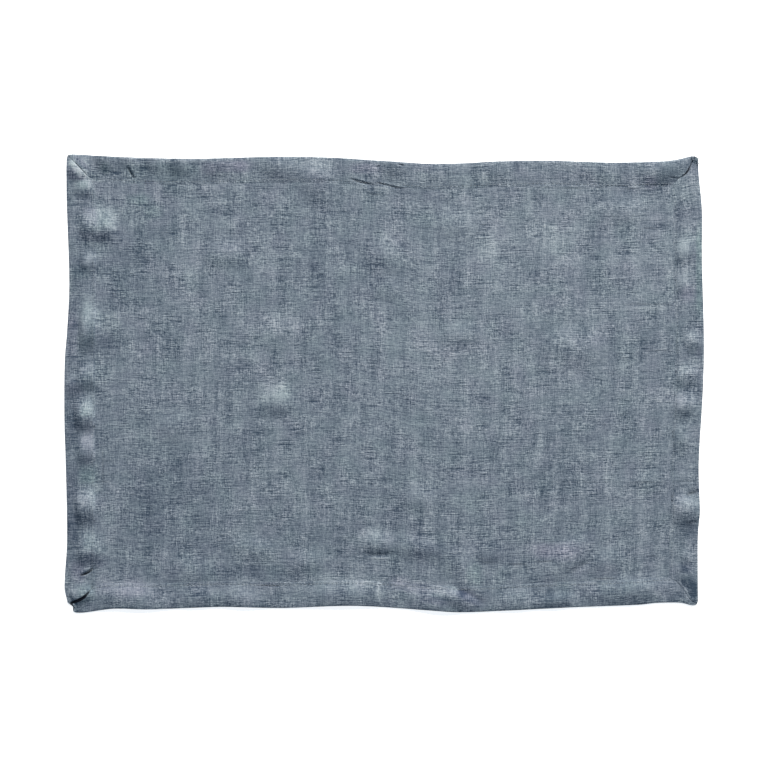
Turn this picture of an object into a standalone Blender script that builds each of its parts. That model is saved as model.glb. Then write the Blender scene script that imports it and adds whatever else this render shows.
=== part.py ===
"""A fabric placemat: one hemmed rectangle of slub linen that lies flat, with its puckers.

The cloth lies in the XY plane with its hem side up. The origin is at the middle of its underside.
"""

from collections import namedtuple
import math

import bmesh
import bpy
from mathutils import Matrix, Vector

MM = 0.001

# ---------------------------------------------------------------------------------------------
# Driving dimensions, in millimetres
# ---------------------------------------------------------------------------------------------

LENGTH = 500.0  # mean size between the fold edges, left to right
WIDTH = 353.0  # mean size between the fold edges, top to bottom
SIDE_HEM = 22.5  # depth of the hem along the left and right edges
END_HEM = 20.0  # depth of the hem along the top and bottom edges

CLOTH = 1.0  # thickness of the single cloth, with the loft of its yarns
HEM = 1.8  # thickness of the three layers of a hem, pressed and stitched down
HEM_STEP = 1.6  # width over which the hem's inner edge steps down to the single cloth
EDGE_ROUND = 1.3  # how far in from the fold edge its rounding reaches
EDGE_FLAT = 0.5  # share of the hem's thickness that the blunt fold edge keeps

FIELD_GRID = 2.6  # spacing of the modelling grid inside the hems
HEM_GRID = 2.0  # its spacing across a hem
KEEP = 0.088  # share of the fine triangles that stays after the flat parts are thinned out
TOUCHES = 0.04  # an underside lower than this rests on the surface

LINEN = (0.178, 0.220, 0.262, 1.0)  # blue-grey, linear light
LINEN_ROUGHNESS = 0.9

HALF_LENGTH = LENGTH / 2
HALF_WIDTH = WIDTH / 2

# ---------------------------------------------------------------------------------------------
# The outline: how far each side strays outwards from its straight line, in millimetres
# ---------------------------------------------------------------------------------------------

Stray = namedtuple("Stray", "at out")

TOP_EDGE = (  # at: x
    Stray(-248, 4.4),
    Stray(-213, 2.4),
    Stray(-151, 0.8),
    Stray(-90, 2.4),
    Stray(-42, 1.9),
    Stray(15, -1.8),
    Stray(44, -3.2),
    Stray(100, -0.9),
    Stray(138, -0.7),
    Stray(180, -1.7),
    Stray(214, -0.9),
    Stray(247, 2.8),
)
BOTTOM_EDGE = (  # at: x
    Stray(-241, 3.6),
    Stray(-213, 0.4),
    Stray(-184, 0.9),
    Stray(-127, -1.0),
    Stray(-80, -0.1),
    Stray(-23, -1.9),
    Stray(34, 1.5),
    Stray(62, 3.2),
    Stray(100, 1.8),
    Stray(147, -0.5),
    Stray(195, -2.4),
    Stray(225, -4.2),
    Stray(245, -2.5),
)
LEFT_EDGE = (  # at: y
    Stray(-168, 1.0),
    Stray(-157, 1.6),
    Stray(-122, -0.4),
    Stray(-65, 0.5),
    Stray(-27, 1.7),
    Stray(20, 1.3),
    Stray(39, -0.3),
    Stray(77, -2.2),
    Stray(144, 0.6),
    Stray(175, 0.7),
)
RIGHT_EDGE = (  # at: y
    Stray(-169, -2.7),
    Stray(-122, -2.7),
    Stray(-103, -1.3),
    Stray(-65, -2.0),
    Stray(-8, 1.2),
    Stray(30, 2.1),
    Stray(96, 0.5),
    Stray(134, 0.5),
    Stray(172, -2.5),
)

# The corners. side, end: which corner, as signs of x and y. cut_x, cut_y: how far its tip is
# drawn in, and reach: over what length. slit, depth: width and depth of the groove along its mitre.
Corner = namedtuple("Corner", "side end cut_x cut_y reach slit depth")

CORNERS = (
    Corner(side=-1, end=1, cut_x=0.6, cut_y=0.6, reach=4, slit=2.4, depth=0.8),
    Corner(side=1, end=1, cut_x=0.8, cut_y=0.6, reach=4, slit=3.0, depth=1.0),
    Corner(side=-1, end=-1, cut_x=3.2, cut_y=3.4, reach=9, slit=4.0, depth=1.1),
    Corner(side=1, end=-1, cut_x=0.8, cut_y=0.6, reach=4, slit=2.4, depth=0.7),
)

# ---------------------------------------------------------------------------------------------
# The folds: puckers, rolls and creases, in millimetres
# ---------------------------------------------------------------------------------------------

# x, y: the middle of the crest. long, wide: half its length and half its width, out to where it
# ends. rise: height of the crest, less than zero for a pressed crease. turn: degrees from +X.
Fold = namedtuple("Fold", "x y long wide rise turn")

LEFT_HEM_PUCKERS = (
    Fold(-237, 155, 20, 10, 1.3, 0),
    Fold(-228, 124, 34, 18, 3.2, 0),
    Fold(-233, 92, 22, 13, 1.3, 0),
    Fold(-231, 43, 32, 19, 3.1, 4),
    Fold(-234, 4, 24, 14, 1.9, 4),
    Fold(-234, -25, 24, 13, 2.2, 6),
    Fold(-234, -53, 24, 13, 1.9, 3),
    Fold(-234, -97, 30, 16, 2.9, 8),
    Fold(-228, -131, 34, 16, 2.5, -12),
    Fold(-240, -162, 22, 12, 1.6, 0),
)
RIGHT_HEM_PUCKERS = (
    Fold(239, 101, 27, 18, 2.0, 0),
    Fold(240, 77, 20, 11, 1.3, 0),
    Fold(241, 48, 18, 9, 0.8, 8),
    Fold(240, 30, 20, 11, 1.6, 18),
    Fold(240, 4, 22, 12, 1.6, 18),
    Fold(237, -18, 28, 13, 2.4, 16),
    Fold(238, -49, 20, 12, 1.2, 0),
    Fold(240, -72, 22, 10, 1.2, 0),
    Fold(239, -104, 26, 15, 3.0, 0),
    Fold(239, -148, 25, 22, 2.9, 0),
)
TOP_HEM_FOLDS = (
    Fold(-240, 162, 16, 12, 1.0, -45),
    Fold(-219, 176, 12, 14, 2.3, 0),
    Fold(-200, 175, 12, 13, 1.8, 0),
    Fold(-178, 175, 12, 13, 1.6, 0),
    Fold(-160, 175, 14, 14, 2.0, 0),
    Fold(-130, 173, 18, 15, 1.5, 0),
    Fold(-82, 170, 24, 15, 1.5, -12),
    Fold(-52, 158, 19, 21, 2.5, 0),
    Fold(9, 174, 14, 13, 1.5, 0),
    Fold(42, 172, 14, 12, 0.7, 0),
    Fold(92, 170, 20, 13, 0.7, 0),
    Fold(172, 171, 30, 13, 0.7, 0),
    Fold(221, 171, 24, 15, 2.8, 12),
    Fold(-5, 159, 24, 4, -0.7, -11),
    Fold(-200, 167, 9, 3, -0.5, -63),
)
BOTTOM_HEM_FOLDS = (
    Fold(-200, -170, 42, 16, 1.7, -6),
    Fold(-146, -171, 22, 13, 1.2, 0),
    Fold(-112, -172, 26, 14, 1.3, -8),
    Fold(-28, -170, 46, 16, 1.7, 4),
    Fold(42, -172, 30, 14, 1.7, -14),
    Fold(67, -162, 22, 11, 2.1, -28),
    Fold(107, -171, 24, 13, 1.3, 0),
    Fold(137, -165, 20, 14, 2.6, 4),
    Fold(196, -166, 40, 14, 1.5, 3),
)
FIELD_FOLDS = (
    Fold(-11, -125, 30, 13, 2.1, 0),
    Fold(28, -128, 34, 11, 1.2, -4),
    Fold(62, -141, 22, 15, 0.9, -55),
    Fold(92, -130, 22, 12, 1.1, 0),
    Fold(146, -138, 34, 15, 1.6, 38),
    Fold(176, -142, 22, 12, 1.1, 10),
    Fold(-101, -131, 24, 12, 1.1, -10),
    Fold(-61, -142, 24, 12, 1.0, 0),
    Fold(-152, -147, 24, 14, 0.9, -20),
    Fold(-85, -17, 20, 14, 2.2, 0),
    Fold(2, 101, 20, 17, 0.9, 0),
    Fold(2, 76, 16, 12, 0.6, 0),
    Fold(56, 128, 24, 14, 0.7, 0),
    Fold(147, 29, 34, 20, 1.2, 0),
    Fold(30, -90, 20, 13, 0.8, 0),
    Fold(-82, 38, 30, 15, 0.8, 0),
    Fold(62, 42, 22, 12, 0.8, 0),
    Fold(124, 78, 30, 14, 1.0, -14),
    Fold(188, 139, 24, 16, 1.1, 0),
    Fold(-126, 101, 22, 14, 1.0, 0),
    Fold(-166, -34, 18, 14, 0.9, 0),
    Fold(212, -79, 36, 9, 0.9, -6),
)
FOLDS = LEFT_HEM_PUCKERS + RIGHT_HEM_PUCKERS + TOP_HEM_FOLDS + BOTTOM_HEM_FOLDS + FIELD_FOLDS


def ease(share):
    """A smooth step from 0 to 1."""
    share = min(max(share, 0.0), 1.0)
    return share * share * (3 - 2 * share)


def stray_at(edge, at):
    """How far an edge strays outwards there: a smooth curve through the rows of its table."""
    if at <= edge[0].at:
        return edge[0].out
    if at >= edge[-1].at:
        return edge[-1].out
    after = next(i for i, row in enumerate(edge) if row.at > at)
    before = after - 1
    start, end = edge[before], edge[after]
    gap = end.at - start.at

    def slope(i):
        if i == 0 or i == len(edge) - 1:
            return 0.0
        return (edge[i + 1].out - edge[i - 1].out) / (edge[i + 1].at - edge[i - 1].at)

    t = (at - start.at) / gap
    return (
        (2 * t**3 - 3 * t**2 + 1) * start.out
        + (t**3 - 2 * t**2 + t) * gap * slope(before)
        + (3 * t**2 - 2 * t**3) * end.out
        + (t**3 - t**2) * gap * slope(after)
    )


def laid_out(x, y):
    """Where a point of the straight-sided cloth lies once its edges stray and its corners draw in."""
    right = x / LENGTH + 0.5
    up = y / WIDTH + 0.5
    new_x = x + right * stray_at(RIGHT_EDGE, y) - (1 - right) * stray_at(LEFT_EDGE, y)
    new_y = y + up * stray_at(TOP_EDGE, x) - (1 - up) * stray_at(BOTTOM_EDGE, x)
    for corner in CORNERS:
        away = math.hypot(x - corner.side * HALF_LENGTH, y - corner.end * HALF_WIDTH)
        pull = ease(1 - away / corner.reach)
        new_x -= corner.side * corner.cut_x * pull
        new_y -= corner.end * corner.cut_y * pull
    return new_x, new_y


def mitre_groove(x, y):
    """Depth of the groove between the two folded hems of a corner."""
    for corner in CORNERS:
        from_side = HALF_LENGTH - corner.side * x
        from_end = HALF_WIDTH - corner.end * y
        if from_side > SIDE_HEM or from_end > END_HEM:
            continue
        diagonal = math.hypot(SIDE_HEM, END_HEM)
        off_line = abs(from_side * END_HEM - from_end * SIDE_HEM) / diagonal
        return corner.depth * max(0.0, 1 - off_line / (corner.slit / 2))
    return 0.0


def thickness(x, y):
    """The cloth's thickness: a single layer, or the three layers of a hem."""
    from_side = HALF_LENGTH - abs(x)
    from_end = HALF_WIDTH - abs(y)
    inside_hem = max(SIDE_HEM - from_side, END_HEM - from_end)
    hem_share = ease(inside_hem / HEM_STEP + 0.5)
    return CLOTH + (HEM - CLOTH) * hem_share - mitre_groove(x, y)


def lift(x, y):
    """Height of the folds above the surface that the cloth lies on."""
    height = 0.0
    for fold in FOLDS:
        angle = math.radians(fold.turn)
        along = (x - fold.x) * math.cos(angle) + (y - fold.y) * math.sin(angle)
        across = (y - fold.y) * math.cos(angle) - (x - fold.x) * math.sin(angle)
        off_crest = (along / fold.long) ** 2 + (across / fold.wide) ** 2
        if off_crest < 1:
            height += fold.rise * (1 - off_crest) ** 2
    return height


def edge_rounding(x, y):
    """How much of its full thickness the cloth has lost on each face, near its fold edge."""
    from_edge = min(HALF_LENGTH - abs(x), HALF_WIDTH - abs(y))
    off_round = max(0.0, 1 - from_edge / EDGE_ROUND)
    return (1 - EDGE_FLAT) / 2 * (1 - math.sqrt(1 - off_round**2))


def evenly(start, end, spacing):
    """Places from start up to but without end, at about that spacing."""
    steps = round((end - start) / spacing)
    return [start + (end - start) * i / steps for i in range(steps)]


def grid_lines(half_size, hem):
    """Places of the grid lines across one size: close at the fold edge and at the hem's step."""
    top_of_step = hem - HEM_STEP / 2
    foot_of_step = hem + HEM_STEP / 2
    from_edge = [0.0, EDGE_ROUND / 4]
    from_edge += evenly(EDGE_ROUND, top_of_step, HEM_GRID)
    from_edge += [top_of_step, hem]
    inner = half_size - foot_of_step
    outer = [distance - half_size for distance in from_edge]
    return outer + evenly(-inner, inner, FIELD_GRID) + [inner] + [-x for x in reversed(outer)]


def flat_sheet(bm):
    """A grid of the whole cloth, with its lines moved to their places."""
    across = grid_lines(HALF_LENGTH, SIDE_HEM)
    up = grid_lines(HALF_WIDTH, END_HEM)
    bmesh.ops.create_grid(
        bm,
        x_segments=len(across) - 1,
        y_segments=len(up) - 1,
        size=0.5,
        matrix=Matrix.Translation((0.5, 0.5, 0)),
    )
    for vert in bm.verts:
        column = round(vert.co.x * (len(across) - 1))
        row = round(vert.co.y * (len(up) - 1))
        vert.co = Vector((across[column], up[row], 0))


def make_cloth_mesh():
    """The sheet is extruded to its thickness, then laid out with its hems and folds."""
    bm = bmesh.new()
    flat_sheet(bm)
    for face in bm.faces:
        face.smooth = True
    lower_faces = bm.faces[:]
    extruded = bmesh.ops.extrude_face_region(bm, geom=lower_faces, use_keep_orig=True)
    upper = {v for v in extruded["geom"] if isinstance(v, bmesh.types.BMVert)}
    for face in lower_faces:
        face.normal_flip()
    for vert in bm.verts:
        x, y = vert.co.x, vert.co.y
        full = thickness(x, y)
        lost = edge_rounding(x, y) * full
        raised = lift(x, y)
        new_x, new_y = laid_out(x, y)
        if vert in upper:
            z = raised + full - lost
        else:
            z = max(raised, 0.0) + lost
        vert.co = Vector((new_x, new_y, z)) * MM
    bmesh.ops.recalc_face_normals(bm, faces=bm.faces)
    mesh = bpy.data.meshes.new("placemat_cloth")
    bm.to_mesh(mesh)
    bm.free()
    return mesh


def linen_material():
    """Blue-grey linen with no shine."""
    material = bpy.data.materials.new("blue_grey_linen")
    material.use_nodes = True
    shader = material.node_tree.nodes["Principled BSDF"]
    shader.inputs["Base Color"].default_value = LINEN
    shader.inputs["Roughness"].default_value = LINEN_ROUGHNESS
    shader.inputs["Metallic"].default_value = 0.0
    return material


def thin_out(cloth):
    """Takes triangles away where the cloth is flat, and puts its underside back on the surface."""
    modifier = cloth.modifiers.new("Thin out the flat parts", "DECIMATE")
    modifier.ratio = KEEP
    modifier.use_collapse_triangulate = True
    graph = bpy.context.evaluated_depsgraph_get()
    cloth.data = bpy.data.meshes.new_from_object(cloth.evaluated_get(graph))
    cloth.modifiers.remove(modifier)
    for vert in cloth.data.vertices:
        if vert.co.z < TOUCHES * MM:
            vert.co.z = 0.0


def make_placemat():
    mesh = make_cloth_mesh()
    mesh.materials.append(linen_material())
    cloth = bpy.data.objects.new("placemat_cloth", mesh)
    bpy.context.scene.collection.objects.link(cloth)
    thin_out(cloth)


def clear_scene():
    for old in list(bpy.data.objects):
        bpy.data.objects.remove(old, do_unlink=True)


def main():
    clear_scene()
    make_placemat()


main()
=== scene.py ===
"""The looks of a hemmed linen placemat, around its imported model.

The cloth is one thin sheet of slub linen with its hems really folded over, laid out on the
outline and the puckers of its solid, with a row of lockstitches along the hems and a few loose
yarn ends. Their sizes are in millimetres until the last step, which turns them to metres.
"""

import math
import random
from collections import namedtuple
from functools import lru_cache, partial

import bmesh
import bpy
from mathutils import Matrix, Vector, noise


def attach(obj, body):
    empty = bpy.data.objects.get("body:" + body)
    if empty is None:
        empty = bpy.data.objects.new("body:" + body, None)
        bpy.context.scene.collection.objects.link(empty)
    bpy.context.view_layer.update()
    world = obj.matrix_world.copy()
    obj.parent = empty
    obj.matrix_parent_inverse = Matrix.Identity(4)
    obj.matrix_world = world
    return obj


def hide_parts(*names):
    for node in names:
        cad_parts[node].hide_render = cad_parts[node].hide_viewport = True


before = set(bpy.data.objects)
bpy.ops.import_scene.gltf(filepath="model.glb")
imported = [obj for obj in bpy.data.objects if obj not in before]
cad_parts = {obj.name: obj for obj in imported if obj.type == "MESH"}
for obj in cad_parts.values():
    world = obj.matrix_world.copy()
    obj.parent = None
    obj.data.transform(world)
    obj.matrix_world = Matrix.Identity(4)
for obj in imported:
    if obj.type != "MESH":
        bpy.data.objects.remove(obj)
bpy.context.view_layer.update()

bl_info = {
    "name": "Linen placemat",
    "version": (1, 0, 0),
    "blender": (4, 5, 0),
    "location": "View3D > Sidebar > Placemat",
    "description": "A hemmed placemat of slub linen that lies flat, with its puckers and its sewing",
    "category": "Add Mesh",
}

MM = 0.001
CM_PER_MM = 0.1  # the cloth's own map is in centimetres of the flat cut cloth


def table(kind, *rows):
    """Rows of numbers, each with its numbers named."""
    return tuple(kind(*row) for row in rows)


# ---- The outline, in millimetres ----

# How far each side strays outwards from its straight line. Each row is a place along the side,
# from its middle, and how far out the fold edge lies there.
TOP_EDGE = (
    (-248, 4.4), (-213, 2.4), (-151, 0.8), (-90, 2.4), (-42, 1.9), (15, -1.8), (44, -3.2), (100, -0.9),
    (138, -0.7), (180, -2.1), (214, -1.5), (226, -1), (236, 0.7), (247, 2.9),
)
BOTTOM_EDGE = (
    (-241, 3.6), (-213, 0.4), (-184, 0.9), (-127, -1), (-80, -0.1), (-23, -1.9), (34, 1.5), (62, 3.2),
    (100, 1.8), (147, -0.5), (195, -2.3), (206, -2.9), (217, -4.1), (234, -4.4), (240, -3.6), (246, -2.2),
)
LEFT_EDGE = (
    (-170, -0.7), (-157, 1.6), (-122, -0.4), (-65, 0.5), (-27, 1.7), (20, 1.3), (39, -0.3), (77, -2.2),
    (144, -0.1), (175, -0.1),
)
RIGHT_EDGE = (
    (-169, -2.7), (-122, -2.7), (-103, -1.3), (-65, -2), (-8, 1.2), (30, 2.1), (96, 0.5), (134, 0.5),
    (172, -2.5),
)

# The corners. side, end: which corner, as signs of x and y. cut_x, cut_y: how far its tip is
# drawn in. near: how much of the edge that runs along Y is drawn in with it. full: how much of
# that edge is drawn in by the whole amount.
Corner = namedtuple("Corner", "side end cut_x cut_y near full", defaults=(3, 0))
CORNERS = table(
    Corner, (-1, 1, 0.6, 0.6), (1, 1, 0.8, 0.6), (-1, -1, 4.4, 0.9, 7.8, 3.6), (1, -1, 0.8, 0.6)
)
CORNER_NEAR = 3  # how much of the edge that runs along X is drawn in with a corner
CORNER_REACH = 14  # how far into the cloth a drawn-in corner is felt

# The mitre seams, from the corner inwards. from_side, from_end: how far in from the two fold
# edges the seam lies. gap: how far it stands open there. dark: how much painted shade darkens the gap.
Seam = namedtuple("Seam", "from_side from_end gap dark", defaults=(0, 0))
MITRES = {  # by the corner's signs of x and y
    (-1, 1): table(
        Seam,
        (0, 0), (5, 5, 0.2, 0.15), (9.5, 9.2, 0.5, 0.45), (14, 13.8, 0.4, 0.4), (16.8, 16.4), (22.5, 20),
    ),
    (1, 1): table(
        Seam,
        (0, 0, 0.2, 0.2), (3.9, 2.1, 0.3, 0.28), (5.2, 5, 0.4, 0.38), (6.4, 7.8, 0.7, 0.7),
        (7.7, 9.9, 1.1, 0.92), (9.3, 11.9, 1.1, 0.9), (12.2, 13.6, 0.8, 0.7), (15.4, 14.6, 0.3, 0.35),
        (18.5, 17), (22.5, 20),
    ),
    (-1, -1): table(
        Seam,
        (0, 0, 0.8, 0.3), (0.4, 5.6, 0.9, 0.9), (3.6, 7.7, 1.3, 1), (10.4, 10, 2, 1), (14.4, 12, 1.9, 1),
        (17.6, 14.8, 0.9, 0.85), (19.4, 17.2, 0.3, 0.3), (22.5, 20),
    ),
    (1, -1): table(
        Seam,
        (0, 0), (6.7, 4.6, 0.05), (11.5, 10.6, 0.05), (16.3, 16.5, 0.05), (22.5, 20),
    ),
}

# ---- The folds, creases, and patches of painted light and tone, in millimetres ----

# x, y: the middle of the crest. long: half its length. above, below: how far its two slopes run
# from the crest, towards +Y and towards -Y. rise: height of the crest. turn: degrees from +X.
Fold = namedtuple("Fold", "x y long above below rise turn", defaults=(0,))

# By how squarely a fold's outline ends along its crest: 2 is a plain oval. Along the side hems
# the stitches bound the puckers, so these end more abruptly, and those of the left hem squarely.
FOLDS = {
    6: table(
        Fold,
        # puckers of the left hem
        (-244, 163.5, 9, 16, 8, 1.1, -35), (-237.5, 150, 8, 9, 8, 0.9), (-226, 119, 15, 20, 10, 2),
        (-233, 94.5, 7, 6, 10, 1.3), (-233.6, 40.5, 7.8, 24, 19, 2.4), (-233.6, 3, 7.4, 16, 9, 1.6),
        (-243, -1, 7, 8, 11, 1), (-234.8, -27.6, 7.6, 19, 10, 2.5, 3), (-234.6, -54, 8, 15, 9, 1.5),
        (-235, -96.6, 8.6, 18, 14, 2.7, 4), (-232, -130.5, 11, 17, 12, 1.9, -8),
        (-237, -165, 9, 14, 6, 1.6, 25),
    ),
    3: table(
        Fold,
        # puckers of the right hem
        (238, 102, 10, 13, 10, 0.9, 20), (235, 77, 7, 12, 9, 0.6), (242, 31, 8, 10, 11, 1.2, 25),
        (238, 3.6, 11, 9, 9, 1.2, 10), (237, -19.5, 12, 13, 11, 1.5, 12), (236, -47, 9, 16, 12, 1),
        (239, -101.5, 14, 13, 18, 2.4, 5), (242, -141, 7, 8, 6, 0.8), (241, -151, 9, 7, 20, 0.8),
    ),
    2: table(
        Fold,
        # folds of the top hem
        (-240, 162, 16, 12, 12, 0.5, -45), (-219, 176, 12, 14, 14, 2.3), (-200, 175, 12, 13, 13, 1.8),
        (-178, 175, 12, 13, 13, 1.6), (-160, 175, 14, 14, 14, 2), (-130, 173, 18, 15, 15, 1.5),
        (-82, 170, 24, 15, 15, 1.5, -12), (-52, 158, 19, 18, 26, 1.4), (9, 174, 14, 13, 13, 1.5),
        (42, 172, 14, 12, 12, 0.7), (92, 170, 20, 13, 13, 0.7), (172, 171, 30, 13, 13, 0.7),
        (221, 171, 24, 15, 15, 2, 12),
        # folds of the bottom hem
        (-200, -170, 42, 16, 16, 1.7, -6), (-146, -171, 22, 13, 13, 1.2),
        (-112, -172, 26, 14, 14, 1.3, -8), (-28, -170, 46, 16, 16, 1.7, 4),
        (42, -172, 30, 14, 14, 1.7, -14), (61, -166, 22, 8, 9, 2, -21), (107, -171, 24, 13, 13, 1.3),
        (137, -171.5, 20, 9, 10, 1.5, 4), (196, -166, 40, 14, 14, 1.5, 3),
        # folds of the field
        (-5, -127.5, 16, 13, 9, 1.6, 2), (28, -128, 34, 11, 11, 1.2, -4),
        (62, -141, 22, 15, 15, 0.9, -55), (84, -131, 18, 12, 10, 0.7), (146, -138, 34, 15, 15, 1.6, 38),
        (176, -142, 22, 12, 12, 1.1, 10), (-101, -131, 24, 12, 12, 1.1, -10), (-61, -142, 24, 12, 12, 1),
        (-152, -147, 24, 14, 14, 0.9, -20), (-82, -18, 17, 19, 10, 1.1), (2, 101, 20, 17, 17, 0.9),
        (2, 76, 16, 12, 12, 0.6), (56, 128, 24, 14, 14, 0.7), (147, 29, 34, 20, 20, 1.2),
        (30, -90, 20, 13, 13, 0.8), (-82, 38, 30, 15, 15, 0.5), (62, 42, 22, 12, 12, 0.8),
        (188, 139, 24, 16, 16, 1.1), (-126, 101, 22, 14, 14, 1), (-166, -34, 18, 14, 14, 0.9),
        (212, -79, 36, 9, 9, 0.3, -6),
    ),
}

# The sharp creases, and single yarns that stand out. x, y: one end. to_x, to_y: the other end.
# width, depth: of the trough. shade: how much darker the cloth is painted in it, as painted shade in
# a crease or as a dark yarn, or below zero how much paler, as a painted highlight on a crease's lip
# or as a pale yarn. bow: how far its middle lies off the straight line.
Crease = namedtuple("Crease", "x y to_x to_y width depth shade bow", defaults=(0,))
CREASES = table(
    Crease,
    (-202, 172, -196.5, 161.5, 1.8, 0.8, 0.58, -0.5), (-26.4, 161.6, -8, 156.8, 1.7, 0.6, 0.52, -0.3),
    (-6, 158.8, 16.5, 153.9, 1.3, 0.5, 0.5, -0.3), (-10, 156, 6, 152.8, 1.6, 0, -0.3),
    (-18, 164.3, -3, 160.9, 1.4, 0, -0.16), (-13, 149.3, -2, 148.6, 1.3, 0.3, 0.32, 0.3),
    (-6.6, 170.6, -2.1, 172.1, 1.2, 0.3, 0.35), (11, 172.9, 16.5, 171.8, 1.2, 0.4, 0.35),
    (-239.8, -151.2, -229.2, -145.4, 1.9, 0.9, 1.1, -0.8), (84, -78, 192, -77.8, 1.1, 0.05, 0.12, 0.6),
    (194, -77.6, 215, -77.6, 1.1, 0.1, 0.34), (218, -77.6, 229, -77.4, 1.1, 0.1, 0.26),
    (230, -77.2, 247, -77, 1.3, 0.2, 0.14), (237.5, -88, 248.5, -84, 2.8, 0.4, 0.44),
    (237, -109.8, 249, -107.8, 1.8, 0.25, 0.28), (-151, 175, -151, 160, 1.5, 0.3, 0.1, 0.6),
    # painted shadow lines along the hems' inner folds
    (120, 154.9, 135, 154.7, 1.1, 0.15, 0.2), (138, 154.3, 161, 154, 1.2, 0.15, 0.32),
    (163, 154.3, 181, 155.3, 1.1, 0.15, 0.18), (183, 155.5, 193, 155.5, 1.1, 0.15, 0.32),
    (192, 153.9, 203, 153.9, 1.1, 0.15, 0.34), (206, 157.2, 216, 157.2, 1.4, 0.15, 0.28),
    (218, 157, 226, 156.6, 1.2, 0.15, 0.2), (-101, -158.9, -80.6, -158.9, 1.3, 0.1, 0.44),
    (164, -153.6, 184, -153.4, 1.3, 0.1, 0.48), (224.9, -106, 224.7, -133, 1.3, 0.05, 0.1),
    (-222, -50, -221.6, -81, 1.6, 0.1, 0.22),
    # soft creases of the lower part: painted shade in their troughs, and painted highlights as pale lines
    # beside them
    (-14, -134.4, 7, -134, 2.4, 0.4, 0.14), (-13, -137.2, 8, -136.6, 1.3, 0, -0.5, -0.5),
    (-1.4, -152, -1.8, -174.5, 1.4, 0.2, -0.46, -3), (76, -140.8, 91, -140.9, 1.5, 0.1, 0.23),
    (98, -142.2, 112, -142.4, 1.4, 0.2, 0.36), (120, -140.8, 134, -139.4, 1.3, 0.2, 0.42),
    (165, -138.5, 146, -150, 4.2, 0.35, 0.13, -0.8), (58, -162.2, 80, -174, 5.5, 0.35, 0.12, 1),
    # painted shade at the end of the top right mitre's gap, and a pale line painted along the lower right
    # one
    (233.8, 162, 223.5, 163.5, 1.3, 0.2, 0.38, 0.4), (232.6, -155.4, 241.8, -169.4, 1.1, 0, -0.48, 0.6),
    (-247, 160.5, -206, 160.3, 1.1, 0, -0.26),
    # single yarns
    (221.7, 171.3, 221.7, 162.6, 0.9, 0, -0.26), (202.7, 123.2, 214.6, 123, 1, 0, 0.34),
    (186, 62.8, 229.6, 62.6, 1, 0, 0.3, 0.3), (190, 59.8, 228, 59.6, 1, 0, -0.48, 0.2),
    (231, 57.9, 240.5, 57.9, 1, 0, -0.5), (202.7, 26.5, 227.5, 26.3, 1, 0, 0.28),
    (230.6, 40, 230.6, 24, 0.9, 0, 0.28), (222, -5.1, 233.5, -5.1, 1, 0, -0.42),
    (214, -13.5, 231, -13.6, 1, 0, -0.42), (206, -135.7, 215, -135.7, 0.9, 0, 0.26),
    (-222, -60.9, -210, -60.6, 0.9, 0, 0.3), (-229, -76.8, -214, -77.1, 0.9, 0, 0.3),
    (-113, -154.8, -106.5, -154.9, 1, 0, -0.5),
)
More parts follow.
